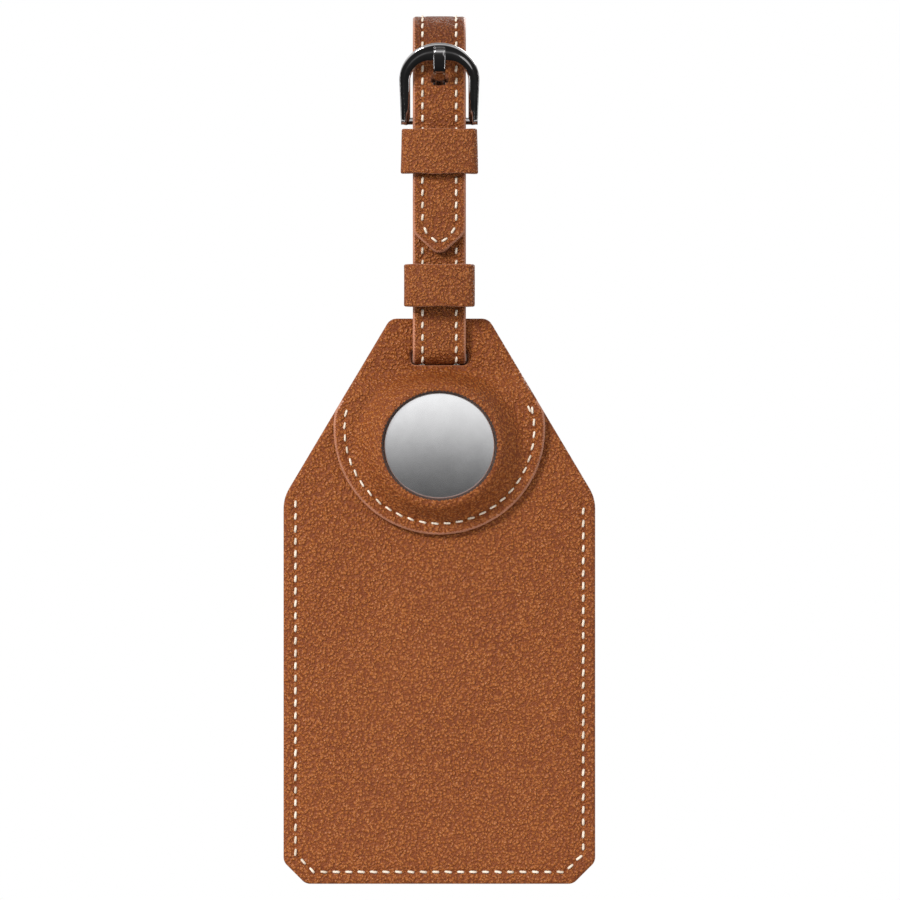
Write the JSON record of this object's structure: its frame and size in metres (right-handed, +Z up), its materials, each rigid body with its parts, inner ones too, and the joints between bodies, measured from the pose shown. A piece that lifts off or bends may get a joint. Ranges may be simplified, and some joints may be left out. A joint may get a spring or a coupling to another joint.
{
  "type": "luggage tag",
  "caption": "Leather luggage tag with a card pocket, a round flap holding a coin tracker, and a buckled strap.",
  "frame": {"origin": "inside top of the strap loop, where a bag handle bears", "axes": "+Z up along the hanging tag, -Y out of the front face, +X to the right seen from the front"},
  "size_m": [0.0704, 0.0264, 0.1962],
  "materials": {
    "leather": "satin",
    "lining": "matte",
    "thread": "matte",
    "buckle_metal": "gloss",
    "steel": "satin",
    "board": "matte",
    "white_plastic": "gloss",
    "card": "matte",
    "stiff_board": "matte"
  },
  "bodies": {
    "strap": {"strap_face": "leather", "strap_backing": "lining", "loop_face": "leather", "loop_backing": "lining", "strap_stitching": "thread", "tail_stitching": "thread", "upper_keeper": "leather"},
    "buckle": {"buckle_frame": "buckle_metal", "buckle_bar": "buckle_metal"},
    "prong": {"buckle_prong": "buckle_metal"},
    "keeper": {"lower_keeper": "leather"},
    "tag": {"yoke_face": "leather", "yoke_backing": "lining", "yoke_stitching": "thread", "back_panel": "leather", "stiffener": "stiff_board", "back_lining": "lining", "front_panel": "leather", "front_lining": "lining", "body_stitching": "thread", "top_panel": "leather"},
    "flap": {"flap_leather": "leather", "flap_lining": "lining", "flap_stitching": "thread", "tracker_case": "white_plastic", "tracker_board": "board", "tracker_battery": "steel"},
    "cover": {"tracker_cover": "steel"},
    "card": {"address_card": "card"}
  },
  "joints": [
    {"name": "tag_swing", "type": "hinge", "parent": "strap", "child": "tag", "pos_m": [0, -0.0055, -0.0654], "axis": [1, 0, 0], "range_deg": [-25, 25]},
    {"name": "flap_fold", "type": "hinge", "parent": "tag", "child": "flap", "pos_m": [0, -0.0086, -0.0776], "axis": [-1, 0, 0], "range_deg": [0, 105]},
    {"name": "card_slide", "type": "slide", "parent": "tag", "child": "card", "axis": [0, 0, 1], "range_m": [0, 0.022]},
    {"name": "cover_twist", "type": "hinge", "parent": "flap", "child": "cover", "pos_m": [0, -0.0137, -0.0952], "axis": [0, 1, 0], "range_deg": [0, 18]},
    {"name": "keeper_slide", "type": "slide", "parent": "strap", "child": "keeper", "axis": [0, 0, 1], "range_m": [0, 0.0195]},
    {"name": "buckle_rock", "type": "hinge", "parent": "strap", "child": "buckle", "pos_m": [0, -0.0064, -0.0219], "axis": [1, 0, 0], "range_deg": [0, 4]},
    {"name": "prong_rock", "type": "hinge", "parent": "strap", "child": "prong", "pos_m": [0, -0.0064, -0.0219], "axis": [1, 0, 0], "range_deg": [0, 4]}
  ],
  "couplings": [
    {"joint": "prong_rock", "follows": "buckle_rock", "ratio": 1}
  ]
}
